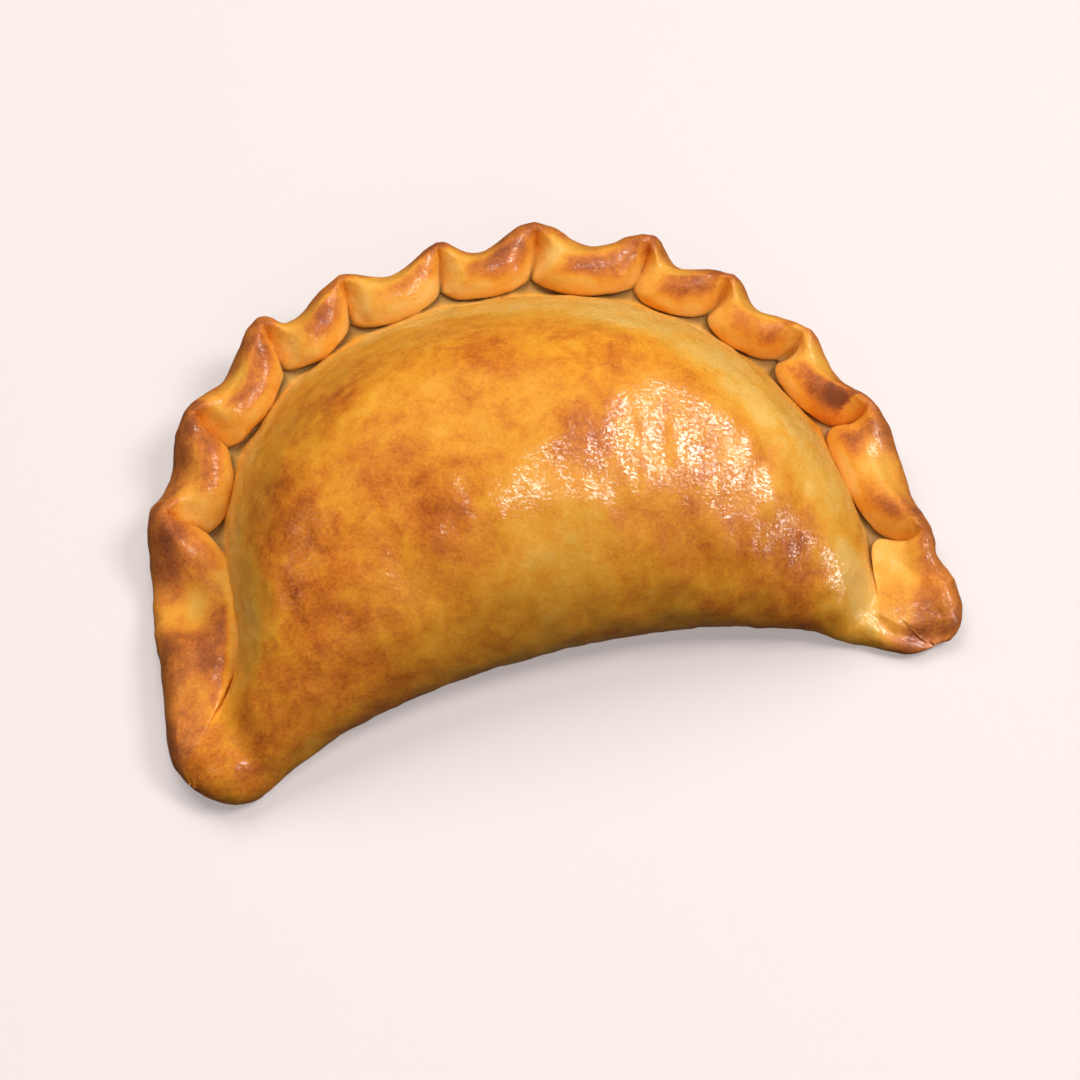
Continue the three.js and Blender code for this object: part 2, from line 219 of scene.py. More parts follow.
@dataclass(frozen=True)
class CrustFinish:
    """The egg-washed crust: baked tones, mottling, patchy gloss and a finely wrinkled skin.

    Attributes:
        mottling: The clouds that shift the bake, each with how far it swings on the bake scale.
        mottling_range: The part of each cloud's range that the swing takes up.
        gloss_patches: The cloud that the roughness follows.
        gloss_range: The part of that cloud's range that counts.
        gloss: The roughness at both ends of it.
        wash_patches: The cloud of thick and thin egg wash.
        wash_range: The part of that cloud's range that counts.
        wash_floor: The share of egg wash where it is thinnest.
        wash_roughness: The roughness of the egg wash itself.
        flakes: The streaky flakes that the egg wash dries into.
        flake_edge: Where on that cloud's range a flake starts and is full.
        wrinkles: The fine wrinkles of the skin.
        wrinkle_depth: How deep they are, in millimetres.
        pores: The pores of the skin.
        pore_depth: How deep they are, in millimetres.
        shine: The shine of the bare crust.
        painted_sheen: The pale colour of a painted sheen, a veil of light over the crust.
        painted_sheen_share: The share of that painted sheen where no egg wash lies.
        painted_shade_colour: The dull dark colour of the painted shade down in the gaps between the folds
            and the pocket.
        skin_depths: How deep light goes into the skin for each colour, in millimetres.
        skin_weight: The share of light that does.
    """

    mottling: tuple[tuple[Cloud, float], ...] = (
        (Cloud(11.0, 3.0, 0.6, 0.4), 0.28),
        (Cloud(3.2, 4.0, 0.6, 0.4), 0.34),
        (Cloud(0.45, 2.0, 0.6, 0.4), 0.20),
    )
    mottling_range: Pair = (0.25, 0.75)
    gloss_patches: Cloud = Cloud(5.0, 4.0, 0.6)
    gloss_range: Pair = (0.3, 0.7)
    gloss: Pair = (0.32, 0.5)
    wash_patches: Cloud = Cloud(5.0, 3.0, 0.55)
    wash_range: Pair = (0.3, 0.6)
    wash_floor: float = 0.15
    wash_roughness: float = 0.13
    flakes: Cloud = Cloud(0.42, 3.0, 0.65, 0.6, (0.5, 1.2, 1.0), 0.35)
    flake_edge: Pair = (0.48, 0.58)
    wrinkles: Cloud = Cloud(1.0, 3.0, 0.6, 0.5, (0.6, 1.2, 1.0), 0.35)
    wrinkle_depth: float = 0.055
    pores: Cloud = Cloud(0.45, 2.0, 0.5)
    pore_depth: float = 0.04
    shine: float = 0.08
    # The pale colour of a painted sheen.
    painted_sheen: Triple = (0.86, 0.60, 0.34)
    painted_sheen_share: float = 0.09
    # A dull dark colour painted into the gaps as shade.
    painted_shade_colour: Triple = (0.21, 0.12, 0.045)
    skin_depths: Triple = (1.6, 0.7, 0.25)
    skin_weight: float = 0.06

    def make(self, name: str) -> bpy.types.Material:
        """Builds the material.

        Args:
            name: The material's name.

        Returns:
            The material, which reads the marks of the mesh.
        """
        material = bpy.data.materials.new(name)
        material.use_nodes = True
        board = NodeBoard(material.node_tree)
        shader = material.node_tree.nodes["Principled BSDF"]
        links = material.node_tree.links
        links.new(self._colour(board), shader.inputs["Base Color"])
        links.new(self._roughness(board), shader.inputs["Roughness"])
        skin = self._skin(board)
        links.new(skin, shader.inputs["Normal"])
        links.new(skin, shader.inputs["Coat Normal"])
        links.new(self._wash(board), shader.inputs["Coat Weight"])
        shader.inputs["Subsurface Weight"].default_value = self.skin_weight
        shader.inputs["Subsurface Radius"].default_value = tuple(depth * MM for depth in self.skin_depths)
        shader.inputs["Subsurface Scale"].default_value = 1.0
        shader.inputs["Specular IOR Level"].default_value = self.shine
        shader.inputs["Coat Roughness"].default_value = self.wash_roughness
        return material

    def _colour(self, board: NodeBoard) -> bpy.types.NodeSocket:
        """Returns the baked colour, mottled, with a painted sheen where the egg wash is thin and painted
        shade in the gaps.
        """
        baked = board.stored(Mark.BAKE)
        for cloud, swing in self.mottling:
            shift = board.ramp(board.noise(cloud), self.mottling_range, (-swing / 2, swing / 2))
            baked = board.work("ADD", baked, shift)
        ramp = board.add("ShaderNodeValToRGB", {"Fac": baked})
        stops = ramp.color_ramp.elements
        for tone in list(BakeTone)[1:-1]:
            stops.new(tone.place)
        for stop, tone in zip(stops, BakeTone):
            stop.position = tone.place
            stop.color = (*tone.colour, 1.0)
        # A pale painted sheen is blended in where the egg wash is thin, mostly on the rope.
        sheen_share = board.ramp(board.stored(Mark.WASH), (0.0, 1.0), (self.painted_sheen_share, 0.0))
        sheened = board.blend(ramp.outputs["Color"], self.painted_sheen, sheen_share)
        # The gaps get a dull dark colour as painted shade.
        return board.blend(sheened, self.painted_shade_colour, board.stored(Mark.CREASE))

    def _roughness(self, board: NodeBoard) -> bpy.types.NodeSocket:
        """Returns the patchy roughness of the bare crust."""
        return board.ramp(board.noise(self.gloss_patches), self.gloss_range, self.gloss)

    def _wash(self, board: NodeBoard) -> bpy.types.NodeSocket:
        """Returns how thick the egg wash lies, dried into streaky flakes."""
        flakes = board.ramp(board.noise(self.flakes), self.flake_edge, (0.0, 1.0))
        patches = board.ramp(board.noise(self.wash_patches), self.wash_range, (self.wash_floor, 1.0))
        spread = board.work("MULTIPLY", flakes, patches)
        return board.work("MULTIPLY", spread, board.stored(Mark.WASH))

    def _skin(self, board: NodeBoard) -> bpy.types.NodeSocket:
        """Returns the surface direction, roughened by wrinkles and pores."""
        wrinkled = board.add("ShaderNodeBump", {
            "Height": board.noise(self.wrinkles),
            "Strength": 1.0,
            "Distance": self.wrinkle_depth * MM,
        })
        pitted = board.add("ShaderNodeBump", {
            "Height": board.noise(self.pores),
            "Strength": 1.0,
            "Distance": self.pore_depth * MM,
            "Normal": wrinkled.outputs["Normal"],
        })
        return pitted.outputs["Normal"]


@dataclass(frozen=True)
class FloorFinish:
    """A plain pale matt floor that glows a little, so that its tone stays even."""

    colour: Triple = (0.58, 0.522, 0.506)
    glow: Triple = (0.303, 0.276, 0.272)
    roughness: float = 0.9

    def make(self, name: str) -> bpy.types.Material:
        """Builds the material under the given name."""
        material = bpy.data.materials.new(name)
        material.use_nodes = True
        shader = material.node_tree.nodes["Principled BSDF"]
        shader.inputs["Base Color"].default_value = (*self.colour, 1.0)
        shader.inputs["Roughness"].default_value = self.roughness
        shader.inputs["Specular IOR Level"].default_value = 0.0
        shader.inputs["Emission Color"].default_value = (*self.glow, 1.0)
        shader.inputs["Emission Strength"].default_value = 1.0
        return material


@dataclass(frozen=True)
class Survey:
    """Where the points of the crust lie, in millimetres but for the share along.

    Attributes:
        places: The points themselves.
        outward: How far out from the groove they lie, below zero on the pocket.
        along: Their share of the way along the groove.
        run: How far along the groove they lie.
        tip: How far they lie from the nearer end of the groove.
        since: The length since the last crease.
        until: The length up to the next crease.
        height: Their height over the groove's floor.
        swell: How far they stand out over the evened form.
    """

    places: np.ndarray
    outward: np.ndarray
    along: np.ndarray
    run: np.ndarray
    tip: np.ndarray
    since: np.ndarray
    until: np.ndarray
    height: np.ndarray
    swell: np.ndarray


@dataclass(frozen=True)
class BakeSpot:
    """A patch where the oven left the crust browner, or paler where the depth is below zero; two browner
    ones on the left of the pocket are partly painted shade.

    Attributes:
        x: Place along the length, in millimetres.
        y: Place across, in millimetres.
        reach: How far it spreads, in millimetres.
        depth: How much it adds on the bake scale.
    """

    x: float
    y: float
    reach: float
    depth: float

    def shade(self, places: np.ndarray) -> np.ndarray:
        """Returns how much it adds to the bake at each of the places."""
        gap = (places[:, 0] - self.x) ** 2 + (places[:, 1] - self.y) ** 2
        return self.depth * np.exp(-gap / self.reach**2)


@dataclass(frozen=True)
class OvenMarks:
    """How far each part of the crust is baked, with spans and reaches in millimetres.

    Attributes:
        pocket: The pocket's own place on the bake scale.
        groove_paling: How much paler the pocket is beside the groove, where the rope shields it.
        groove_reach: How far that paling reaches at shares of the way along the groove.
        groove_fade: How far beyond it fades.
        rope_edge: Where outward the pocket's bake turns into the rope's.
        fold: The bake of the folds.
        edge: The bake along the outer edge of the folds.
        edge_reach: Where outward the edge's bake starts and is full.
        flap: The bake of the long first fold.
        flap_end: Where along the groove that starts to fade and is gone.
        tip_reach: How far from the groove's ends the tips start to fade and are gone.
        ridge: The bake on the ridges of the folds.
        ridge_swell: How far out over the evened form the ridge tone starts and is full.
        ridge_rise: The heights where the ridge tone starts and is full.
        peak: The share of the ridge tone at the outer end of each fold, about its crease.
        peak_reach: How far before the crease that starts to fade and is gone.
        peak_lead: How many times sooner it fades past the crease.
        peak_rise: Where outward it starts and is full.
        scoop: The bake in the scoop just past each crease, paler partly as its own tone and partly as a
            painted highlight.
        scoop_start: How far past the crease that starts and is full.
        scoop_end: How far past the crease it starts to fade and is gone.
        scoop_inner: Where outward it starts and is full.
        scoop_outer: Where outward it starts to fade and is gone.
        cream: The bake of the folds low down beside the groove.
        cream_rise: The heights where the cream starts to brown and is gone.
        gap_shade: How much shade is painted down in the gaps between the folds and the pocket.
        gap_rise: The heights where the painted shade starts to fade and is gone.
        gap_inner: Where outward the painted shade starts and is full.
        gap_outer: Where outward it starts to fade and is gone.
        rope_wash: How thick the egg wash lies on the rope, where the pocket has 1.
        spots: The patches that came out browner or paler.
    """

    pocket: float = 0.44
    groove_paling: float = 0.32
    groove_reach: tuple[Pair, ...] = (
        (0.0, -4.0), (0.05, 3.5), (0.12, 2.4), (0.2, 2.0), (0.25, 3.0), (0.33, 2.0),
        (0.37, 4.5), (0.45, 9.0), (0.52, 13.0), (0.56, 14.0), (0.61, 17.0), (0.74, 18.5),
        (0.82, 16.0), (0.9, 12.0), (0.94, 9.0), (0.97, 6.5), (1.0, 3.0),
    )
    groove_fade: float = 4.0
    rope_edge: Pair = (-0.6, 0.6)
    fold: float = 0.40
    edge: float = 0.60
    edge_reach: Pair = (4.0, 7.5)
    flap: float = 0.54
    flap_end: Pair = (24.0, 34.0)
    tip_reach: Pair = (1.0, 9.0)
    ridge: float = 0.76
    ridge_swell: Pair = (0.15, 0.85)
    ridge_rise: Pair = (2.4, 5.2)
    peak: float = 0.75
    peak_reach: Pair = (1.0, 5.0)
    peak_lead: float = 2.0
    peak_rise: Pair = (4.0, 7.0)
    scoop: float = 0.16
    scoop_start: Pair = (0.4, 1.4)
    scoop_end: Pair = (3.0, 6.5)
    scoop_inner: Pair = (0.5, 2.5)
    scoop_outer: Pair = (5.0, 7.5)
    cream: float = 0.10
    cream_rise: Pair = (2.0, 6.4)
    gap_shade: float = 0.8
    gap_rise: Pair = (0.2, 1.5)
    gap_inner: Pair = (-1.3, -0.3)
    gap_outer: Pair = (3.0, 5.0)
    rope_wash: float = 0.45
    spots: tuple[BakeSpot, ...] = (
        # On the pocket.
        BakeSpot(-4.4, 4.8, 4.5, 0.22),
        BakeSpot(-26.3, 5.6, 3.8, 0.28),
        BakeSpot(6.6, -10.3, 4.5, 0.26),
        BakeSpot(14.6, 1.6, 5.0, 0.14),
        BakeSpot(22.9, -12.8, 7.0, 0.10),
        BakeSpot(-16.2, -16.5, 4.5, 0.26),
        BakeSpot(-10.3, -12.4, 3.5, 0.12),
        BakeSpot(-21.1, -9.5, 4.0, 0.12),
        BakeSpot(-35.2, -6.8, 5.5, 0.12),
        BakeSpot(-39.4, -13.0, 6.0, 0.16),
        BakeSpot(26.3, -23.2, 3.0, 0.14),
        BakeSpot(19.9, -25.5, 5.0, 0.14),
        BakeSpot(36.4, -26.2, 4.5, 0.16),
        BakeSpot(33.9, -30.9, 5.5, 0.24),
        BakeSpot(40.0, -30.0, 4.5, -0.30),
        BakeSpot(43.5, -22.5, 2.5, 0.26),
        # These two make the left of the pocket browner, partly its own tone and partly painted shade
        # where less light falls on that side.
        BakeSpot(-28.1, -27.4, 10.0, 0.14),
        BakeSpot(-31.0, -17.0, 7.0, 0.17),
        BakeSpot(-38.2, -28.0, 8.0, 0.14),
        BakeSpot(-39.5, -29.9, 6.0, -0.06),
        BakeSpot(0.1, -23.2, 6.0, -0.08),
        BakeSpot(3.3, -28.1, 7.0, -0.08),
        BakeSpot(0.1, -4.5, 5.0, -0.06),
        BakeSpot(-11.4, -4.5, 5.0, -0.06),
        BakeSpot(-14.7, -2.8, 4.5, -0.10),
        # On the long first fold and the tips.
        BakeSpot(-54.4, -11.0, 3.5, -0.22),
        BakeSpot(-53.8, -2.6, 4.0, 0.26),
        BakeSpot(-50.5, -6.0, 3.0, 0.18),
        BakeSpot(-49.5, -12.0, 2.5, 0.12),
        BakeSpot(-57.8, -34.4, 6.0, 0.18),
        BakeSpot(-48.9, -38.0, 7.0, 0.20),
        BakeSpot(57.5, -31.0, 5.0, -0.06),
        BakeSpot(52.0, -37.0, 5.0, 0.06),
        # On the other folds.
        BakeSpot(-14.9, 30.1, 3.0, -0.18),
        BakeSpot(-7.5, 31.9, 3.0, -0.20),
        BakeSpot(-0.4, 31.9, 3.0, -0.20),
        BakeSpot(12.9, 33.0, 2.5, -0.30),
        BakeSpot(40.9, 15.9, 2.5, -0.22),
        BakeSpot(46.5, 7.3, 2.5, -0.22),
        BakeSpot(49.3, -10.8, 3.0, -0.34),
        BakeSpot(-19.6, 34.4, 3.0, 0.12),
        BakeSpot(-34.9, 26.7, 3.0, 0.12),
        BakeSpot(-43.3, 19.0, 3.0, 0.12),
        BakeSpot(-47.1, 14.1, 3.5, 0.22),
        BakeSpot(34.9, 22.9, 2.5, 0.10),
        BakeSpot(41.8, 12.5, 2.5, 0.14),
        BakeSpot(47.9, 0.0, 4.0, 0.36),
        BakeSpot(52.8, -21.5, 3.5, 0.16),
    )

    def bake(self, survey: Survey) -> np.ndarray:
        """Works out how far the crust is baked.

        Args:
            survey: Where its points lie.

        Returns:
            Their places on the bake scale.
        """
        rope = self._on_rope(survey)
        bake = self._pocket_bake(survey) * (1.0 - rope) + self._rope_bake(survey) * rope
        return bake + sum(spot.shade(survey.places) for spot in self.spots)

    def crease(self, survey: Survey) -> np.ndarray:
        """Works out how much shade is painted down in the gaps.

        Args:
            survey: Where the points of the crust lie.

        Returns:
            The share of painted shade at each.
        """
        # Painted shade: a dull dark tone low down in the gaps between the folds and the pocket.
        sunk = 1.0 - smooth_step(survey.height, *self.gap_rise)
        across = hump(survey.outward, self.gap_inner, self.gap_outer)
        return self.gap_shade * sunk * across * (1.0 - self._on_tips(survey))

    def wash(self, survey: Survey) -> np.ndarray:
        """Returns how thick the egg wash lies at each point of a survey, at most 1."""
        return 1.0 - (1.0 - self.rope_wash) * self._on_rope(survey)

    def _on_rope(self, survey: Survey) -> np.ndarray:
        """Returns 1 on the rope and 0 on the pocket."""
        return smooth_step(survey.outward, *self.rope_edge)

    def _on_tips(self, survey: Survey) -> np.ndarray:
        """Returns 1 at the tips and 0 elsewhere."""
        return 1.0 - smooth_step(survey.tip, *self.tip_reach)

    def _pocket_bake(self, survey: Survey) -> np.ndarray:
        """Returns the bake of the pocket, paler beside the groove."""
        reach = np.interp(survey.along, *np.array(self.groove_reach).T)
        beside = smooth_step(survey.outward + reach, -self.groove_fade, 0.0)
        return self.pocket - self.groove_paling * beside

    def _rope_bake(self, survey: Survey) -> np.ndarray:
        """Returns the bake of the rope: brown ridges, pale scoops that are partly a painted highlight,
        cream beside the groove.
        """
        flap = 1.0 - smooth_step(survey.run, *self.flap_end)
        edge = smooth_step(survey.outward, *self.edge_reach)
        plain = self.fold + (self.edge - self.fold) * edge
        plain += (self.flap - plain) * flap
        bake = plain + (self.ridge - plain) * self._browned(survey)
        # The scoops past each crease are made paler, partly their own tone and partly a painted
        # highlight.
        past = hump(survey.since, self.scoop_start, self.scoop_end)
        scooped = past * hump(survey.outward, self.scoop_inner, self.scoop_outer)
        bake += (self.scoop - bake) * scooped * (1.0 - flap)
        low = 1.0 - smooth_step(survey.height, *self.cream_rise)
        bake += (self.cream - bake) * low * (1.0 - edge) * (1.0 - self._on_tips(survey))
        return bake

    def _browned(self, survey: Survey) -> np.ndarray:
        """Returns the share of the ridge tone on the ridges and peaks of the folds."""
        raised = smooth_step(survey.swell, *self.ridge_swell)
        ridges = raised * smooth_step(survey.height, *self.ridge_rise)
        nearest = np.minimum(survey.until, self.peak_lead * survey.since)
        peaks = 1.0 - smooth_step(nearest, *self.peak_reach)
        return np.maximum(ridges, self.peak * peaks * smooth_step(survey.outward, *self.peak_rise))


@dataclass(frozen=True)
class Groove:
    """The line in plan, in millimetres, where the rope of folds meets the pocket.

    Attributes:
        left_end: Where it starts, at the left tip.
        left_end_lead: How it sets off from there.
        left_flank: The place on the left flank where it runs straight back.
        left_flank_lead: How straight it comes to that place.
        left_flank_rise: How straight it goes on from there.
        left_shoulder: How far left it swings before the back.
        back: Its place at the very back.
        right_shoulder: How far right it swings past the back.
        right_end: Where it ends, at the right tip.
        right_end_lead: How it comes in there.
        fold_lengths: The lengths of the folds along it, from the left.
        steps: How many points each of its three runs gets.
        chunk: How many places are measured at a time.
    """

    left_end: Pair = (-54.58, -32.5)
    left_end_lead: Pair = (5.3, 5.9)
    left_flank: Pair = (-47.08, -9.9)
    left_flank_lead: float = 9.0
    left_flank_rise: float = 20.0
    left_shoulder: float = -37.28
    back: Pair = (-0.28, 31.5)
    right_shoulder: float = 35.12
    right_end: Pair = (46.32, -31.9)
    right_end_lead: Pair = (9.3, 33.1)
    fold_lengths: tuple[float, ...] = (
        35.7, 14.1, 15.0, 12.4, 14.7, 14.1, 15.8, 11.8, 12.5, 13.5, 19.4, 13.5,
    )
    steps: int = 120
    chunk: int = 20000

    def points(self) -> np.ndarray:
        """Returns the points along the groove, from the left tip to the right one."""
        runs = (
            (self.left_end,
             (self.left_end[0] + self.left_end_lead[0], self.left_end[1] + self.left_end_lead[1]),
             (self.left_flank[0], self.left_flank[1] - self.left_flank_lead),
             self.left_flank),
            (self.left_flank,
             (self.left_flank[0], self.left_flank[1] + self.left_flank_rise),
             (self.left_shoulder, self.back[1]),
             self.back),
            (self.back,
             (self.right_shoulder, self.back[1]),
             (self.right_end[0] + self.right_end_lead[0], self.right_end[1] + self.right_end_lead[1]),
             self.right_end),
        )
        share = np.linspace(0.0, 1.0, self.steps, endpoint=False)[:, None]
        rest = 1.0 - share
        curves = [
            rest**3 * np.array(start) + 3 * rest**2 * share * np.array(lead)
            + 3 * rest * share**2 * np.array(approach) + share**3 * np.array(end)
            for start, lead, approach, end in runs
        ]
        return np.vstack([*curves, np.array([self.right_end])])

    def measure(self, places: np.ndarray) -> tuple[np.ndarray, np.ndarray]:
        """Measures where places lie beside the groove.

        Args:
            places: Points in plan, in millimetres.

        Returns:
            How far outward each lies, above zero on the rope and below zero on the pocket, and
            its share of the way along the groove.
        """
        line = self.points()
        heading = np.gradient(line, axis=0)
        runs = np.linalg.norm(np.diff(line, axis=0), axis=1)
        shares = np.concatenate([[0.0], np.cumsum(runs)]) / runs.sum()
        outward = np.empty(len(places))
        along = np.empty(len(places))
        for start in range(0, len(places), self.chunk):
            part = places[start:start + self.chunk]
            gap = ((part[:, None, :] - line[None, :, :]) ** 2).sum(axis=2)
            nearest = gap.argmin(axis=1)
            away = part - line[nearest]
            side = heading[nearest, 0] * away[:, 1] - heading[nearest, 1] * away[:, 0]
            outward[start:start + self.chunk] = np.sqrt(gap.min(axis=1)) * np.sign(side)
            along[start:start + self.chunk] = shares[nearest]
        return outward, along

    def length(self) -> float:
        """Returns the length of all the folds along the groove, in millimetres."""
        return sum(self.fold_lengths)

    def creases(self, along: np.ndarray) -> tuple[np.ndarray, np.ndarray]:
        """Measures how far places lie from the creases at both ends of their fold.

        Args:
            along: Shares of the way along the groove.

        Returns:
            The lengths since the last crease and up to the next one, in millimetres.
        """
        ends = np.cumsum(self.fold_lengths)
        place = along * ends[-1]
        fold = np.minimum(np.searchsorted(ends, place), len(ends) - 1)
        starts = np.concatenate([[0.0], ends[:-1]])
        return place - starts[fold], ends[fold] - place


@dataclass(frozen=True)
class Relief:
    """A layer of cloudy unevenness that is raised on the crust.

    Attributes:
        name: What it is made of.
        size: How large its lumps are, in millimetres.
        height: How far it swings in all, in millimetres.
        layers: How many finer layers it has.
    """

    name: str
    size: float
    height: float
    layers: int

    def raise_on(self, piece: bpy.types.Object, group: str) -> None:
        """Adds the relief to a piece as a modifier.

        Args:
            piece: The piece.
            group: The name of the vertex group that says how much of it each point gets.
        """
        cloud = bpy.data.textures.new(self.name, "CLOUDS")
        cloud.noise_scale = self.size * MM
        cloud.noise_depth = self.layers
        raised = piece.modifiers.new(self.name, "DISPLACE")
        raised.texture = cloud
        raised.texture_coords = "LOCAL"
        raised.strength = self.height * MM
        raised.vertex_group = group


@dataclass
class Crust:
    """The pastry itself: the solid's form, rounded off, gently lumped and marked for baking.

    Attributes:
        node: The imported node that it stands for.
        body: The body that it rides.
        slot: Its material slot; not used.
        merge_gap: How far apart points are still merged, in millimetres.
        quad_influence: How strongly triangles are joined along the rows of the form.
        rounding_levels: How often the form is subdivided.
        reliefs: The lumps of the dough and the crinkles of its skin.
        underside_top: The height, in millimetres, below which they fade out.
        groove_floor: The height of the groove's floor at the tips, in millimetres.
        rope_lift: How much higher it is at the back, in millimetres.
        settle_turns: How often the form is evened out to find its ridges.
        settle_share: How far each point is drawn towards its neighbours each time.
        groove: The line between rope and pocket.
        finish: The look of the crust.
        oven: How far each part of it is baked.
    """

    node: str = "pastry"
    body: str = "root"
    slot: str = "crust"
    merge_gap: float = 0.002
    quad_influence: float = 1.5
    rounding_levels: int = 2
    reliefs: tuple[Relief, ...] = (
        Relief("lumps", 7.0, 1.1, 2),
        Relief("crinkles", 2.6, 0.25, 3),
    )
    underside_top: float = 2.0
    groove_floor: float = 3.1
    rope_lift: float = 7.5
    settle_turns: int = 160
    settle_share: float = 0.5
    groove: Groove = Groove()
    finish: CrustFinish = CrustFinish()
    oven: OvenMarks = OvenMarks()

    def build(self, solid: bpy.types.Object) -> bpy.types.Object:
        """Builds the finished piece.

        Args:
            solid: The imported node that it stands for.

        Returns:
            The dressed piece.
        """
        piece = self._copy(solid)
        self._round_off(piece)
        self._mark(piece)
        self._lump(piece)
        piece.data.materials.clear()
        piece.data.materials.append(self.finish.make("baked_crust"))
        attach(piece, self.body)
        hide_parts(self.node)
        return piece

    def _copy(self, solid: bpy.types.Object) -> bpy.types.Object:
        """Copies the solid's loose triangles into a new piece and merges them into quads.

        Args:
            solid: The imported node.

        Returns:
            The new piece, alone selected.
        """
        bpy.ops.object.select_all(action="DESELECT")
        piece = bpy.data.objects.new("crust", solid.data.copy())
        bpy.context.scene.collection.objects.link(piece)
        bpy.context.view_layer.objects.active = piece
        piece.select_set(True)
        bpy.ops.object.mode_set(mode="EDIT")
        bpy.ops.mesh.select_all(action="SELECT")
        bpy.ops.mesh.remove_doubles(threshold=self.merge_gap * MM)
        bpy.ops.mesh.tris_convert_to_quads(
            face_threshold=math.pi, shape_threshold=math.pi, topology_influence=self.quad_influence)
        bpy.ops.object.mode_set(mode="OBJECT")
        return piece

    def _round_off(self, piece: bpy.types.Object) -> None:
        """Rounds the faceted form."""
        rounding = piece.modifiers.new("rounding", "SUBSURF")
        rounding.levels = self.rounding_levels
        rounding.render_levels = self.rounding_levels
        self._apply(piece)
        bpy.ops.object.shade_smooth()

    def _lump(self, piece: bpy.types.Object) -> None:
        """Raises the lumps of the baked dough and the crinkles of its skin, but for the underside."""
        weights = smooth_step(self._places(piece)[:, 2], 0.0, self.underside_top)
        upper = piece.vertex_groups.new(name="upper")
        for index, weight in enumerate(weights):
            upper.add([index], float(weight), "REPLACE")
        for relief in self.reliefs:
            relief.raise_on(piece, upper.name)
        self._apply(piece)
        piece.vertex_groups.clear()

    def _apply(self, piece: bpy.types.Object) -> None:
        """Applies every modifier of the piece in order."""
        for modifier in list(piece.modifiers):
            bpy.ops.object.modifier_apply(modifier=modifier.name)

    def _places(self, piece: bpy.types.Object) -> np.ndarray:
        """Returns the points of the piece in millimetres."""
        places = np.empty(len(piece.data.vertices) * 3)
        piece.data.vertices.foreach_get("co", places)
        return places.reshape(-1, 3) / MM

    def _settled(self, piece: bpy.types.Object) -> np.ndarray:
        """Evens out the form, so that narrow creases no longer show in it.

        Args:
            piece: The rounded form.

        Returns:
            The evened points in millimetres.
        """
        edges = np.empty(len(piece.data.edges) * 2, dtype=np.int64)
        piece.data.edges.foreach_get("vertices", edges)
        first, second = edges.reshape(-1, 2).T
        ends = np.concatenate([first, second])
        others = np.concatenate([second, first])
        count = len(piece.data.vertices)
        degree = np.bincount(ends, minlength=count)[:, None]
        evened = self._places(piece)
        for _ in range(self.settle_turns):
            sums = [np.bincount(ends, weights=evened[others, axis], minlength=count) for axis in range(3)]
            middle = np.stack(sums, axis=1) / degree
            evened += self.settle_share * (middle - evened)
        return evened

    def _survey(self, piece: bpy.types.Object) -> Survey:
        """Measures where the points of the rounded form lie.

        Args:
            piece: The rounded form.

        Returns:
            The measures of all its points.
        """
        places = self._places(piece)
        normals = np.empty(len(piece.data.vertices) * 3)
        piece.data.vertices.foreach_get("normal", normals)
        outward, along = self.groove.measure(places[:, :2])
        since, until = self.groove.creases(along)
        floor = self.groove_floor + self.rope_lift * np.sin(np.pi * along) ** 2
        return Survey(
            places=places,
            outward=outward,
            along=along,
            run=along * self.groove.length(),
            tip=np.minimum(along, 1.0 - along) * self.groove.length(),
            since=since,
            until=until,
            height=places[:, 2] - floor,
            swell=((places - self._settled(piece)) * normals.reshape(-1, 3)).sum(axis=1),
        )

    def _mark(self, piece: bpy.types.Object) -> None:
        """Stores on the mesh how baked and egg-washed each point is, and how much shade is painted in its
        gaps.
        """
        survey = self._survey(piece)
        marks = {
            Mark.BAKE: self.oven.bake(survey),
            Mark.CREASE: self.oven.crease(survey),
            Mark.WASH: self.oven.wash(survey),
        }
        for mark, values in marks.items():
            stored = piece.data.attributes.new(mark.value, "FLOAT", "POINT")
            stored.data.foreach_set("value", values.astype(np.float32))


@dataclass(frozen=True)
class SoftLight:
    """A soft light that hangs over the object and faces it.

    Attributes:
        name: The light's name.
        toward: The direction from the object to the light.
        distance: How far off it hangs, in metres.
        sides: How wide and how tall it is, in metres.
        power: Its strength in watts.
        colour: Its linear colour.
        mirrored: Whether the gloss of the crust shows it.
        spread: Whether it lights more than the gloss.
    """

    name: str
    toward: Triple
    distance: float
    sides: Pair
    power: float
    colour: Triple = WARM_WHITE
    mirrored: bool = True
    spread: bool = True

    def hang(self) -> bpy.types.Object:
        """Makes the light and returns it."""
        lamp = bpy.data.lights.new(self.name, "AREA")
        lamp.shape = "RECTANGLE"
        lamp.size = self.sides[0]
        lamp.size_y = self.sides[1]
        lamp.energy = self.power
        lamp.color = self.colour
        light = bpy.data.objects.new(self.name, lamp)
        away = Vector(self.toward).normalized()
        light.location = away * self.distance
        light.rotation_euler = away.to_track_quat("Z", "Y").to_euler()
        light.visible_glossy = self.mirrored
        light.visible_diffuse = self.spread
        bpy.context.scene.collection.objects.link(light)
        return light


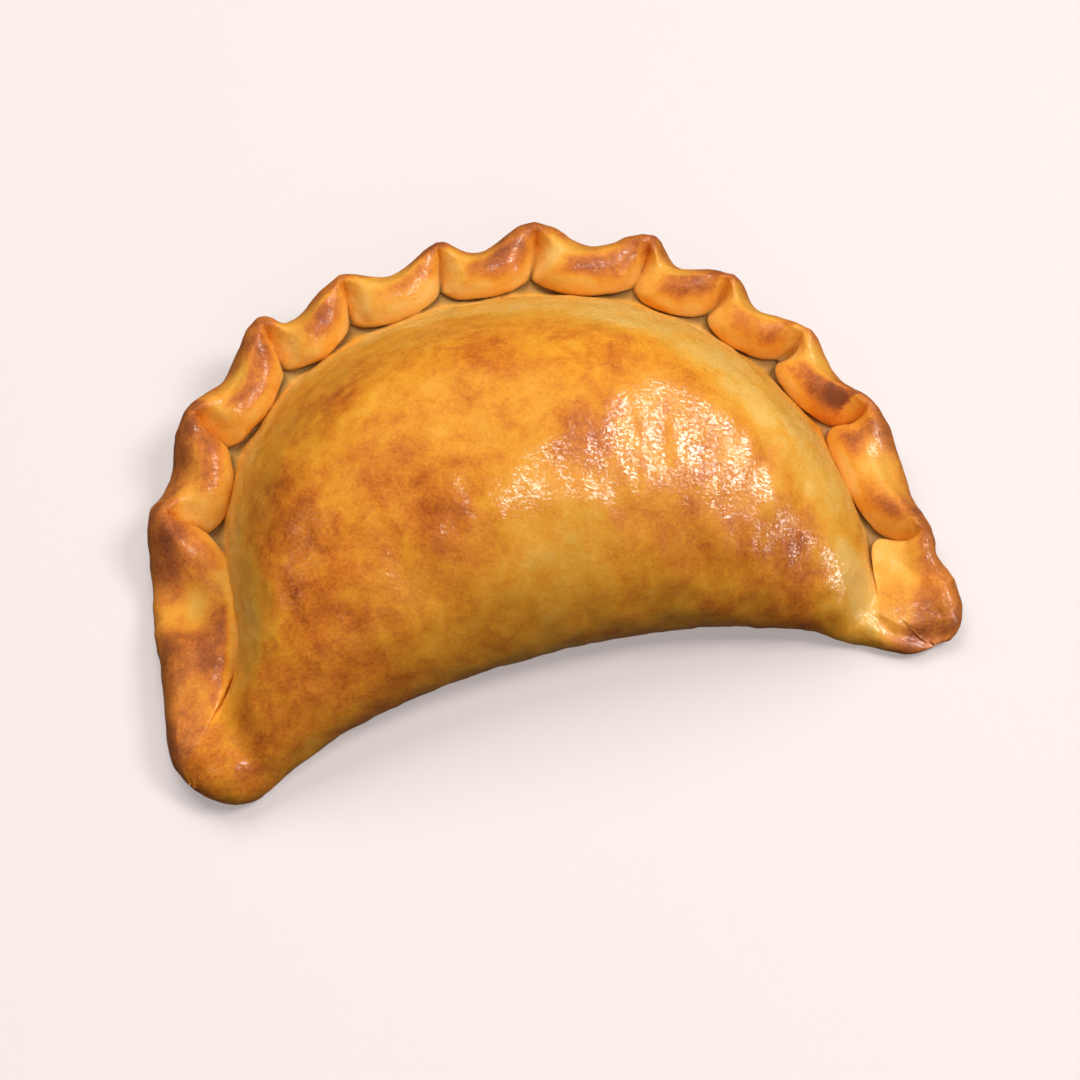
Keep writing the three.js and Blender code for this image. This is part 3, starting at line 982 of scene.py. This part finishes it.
@dataclass
class Studio:
    """The pale floor, the soft lights and the camera.

    Attributes:
        floor_side: The side of the square floor, in metres.
        floor_finish: The look of the floor.
        sky_colour: The linear colour of the light all around.
        sky_strength: How strong that is.
        lights: The soft lights, some for the tones alone and some for the gloss alone.
        lens: The camera's focal length, in millimetres.
        sensor: The width of its sensor, in millimetres.
        azimuth: The camera's turn about the height, in radians, from straight in front.
        elevation: How high it looks down from, in radians.
        distance: How far it is from its target, in metres.
        target: The point it looks at, in metres.
    """

    floor_side: float = 6.0
    floor_finish: FloorFinish = FloorFinish()
    sky_colour: Triple = (1.0, 0.98, 0.97)
    sky_strength: float = 0.07
    lights: tuple[SoftLight, ...] = (
        SoftLight("key", (0.50, -0.15, 0.84), 0.9, (0.3, 0.3), 4.2, mirrored=False),
        SoftLight("shine", (0.65, -0.10, 0.75), 0.9, (0.65, 0.30), 16.5, spread=False),
        SoftLight("glint", (0.11, -0.32, 0.94), 1.0, (0.22, 0.35), 5.0, spread=False),
        SoftLight("glance", (0.80, -0.55, 0.25), 1.0, (0.3, 0.3), 6.0, spread=False),
        SoftLight("left", (-0.68, 0.08, 0.72), 0.9, (0.4, 0.4), 0.75, (1.0, 0.97, 0.95), spread=False),
        SoftLight("over", (0.05, -0.2, 0.97), 1.0, (0.16, 0.16), 0.9, (1.0, 0.99, 0.97), mirrored=False),
        SoftLight("front", (0.0, -0.75, 0.66), 1.0, (0.5, 0.5), 1.4, mirrored=False),
        SoftLight("back", (-0.10, 0.46, 0.88), 1.0, (0.7, 0.7), 6.6, mirrored=False),
    )
    lens: float = 85.0
    sensor: float = 36.0
    azimuth: float = math.radians(-13.0)
    elevation: float = math.radians(60.0)
    distance: float = 0.377
    target: Triple = (-0.000278, -0.011902, 0.009)

    def build(self) -> bpy.types.Object:
        """Builds the whole studio and returns the floor."""
        floor = self._floor()
        self._sky()
        for light in self.lights:
            light.hang()
        self._camera()
        bpy.context.scene.view_settings.view_transform = "Standard"
        return floor

    def _floor(self) -> bpy.types.Object:
        """Lays the floor and returns it."""
        bpy.ops.object.select_all(action="DESELECT")
        bpy.ops.mesh.primitive_plane_add(size=self.floor_side, location=(0.0, 0.0, 0.0))
        floor = bpy.context.object
        floor.name = "floor"
        floor.data.materials.append(self.floor_finish.make("pale_floor"))
        floor.visible_diffuse = False
        floor.visible_glossy = False
        return floor

    def _sky(self) -> None:
        """Fills the room with an even pale light."""
        sky = bpy.data.worlds.new("room")
        sky.use_nodes = True
        glow = sky.node_tree.nodes["Background"]
        glow.inputs["Color"].default_value = (*self.sky_colour, 1.0)
        glow.inputs["Strength"].default_value = self.sky_strength
        bpy.context.scene.world = sky

    def _camera(self) -> None:
        """Sets the camera at the viewing angle."""
        view = bpy.data.cameras.new("camera")
        view.lens = self.lens
        view.sensor_width = self.sensor
        camera = bpy.data.objects.new("camera", view)
        flat = math.cos(self.elevation)
        back = Vector((
            math.sin(self.azimuth) * flat,
            -math.cos(self.azimuth) * flat,
            math.sin(self.elevation),
        ))
        camera.location = Vector(self.target) + back * self.distance
        camera.rotation_euler = back.to_track_quat("Z", "Y").to_euler()
        bpy.context.scene.collection.objects.link(camera)
        bpy.context.scene.camera = camera


def main() -> None:
    """Builds the crust and the studio in order and reports each piece."""
    logging.basicConfig(level=logging.INFO, format="%(name)s: %(message)s")
    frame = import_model()
    crust = Crust()
    piece = crust.build(frame["nodes"][crust.node])
    log.info("%s: %d faces", piece.name, len(piece.data.polygons))
    floor = Studio().build()
    log.info("%s laid", floor.name)


if __name__ == "__main__":
    main()
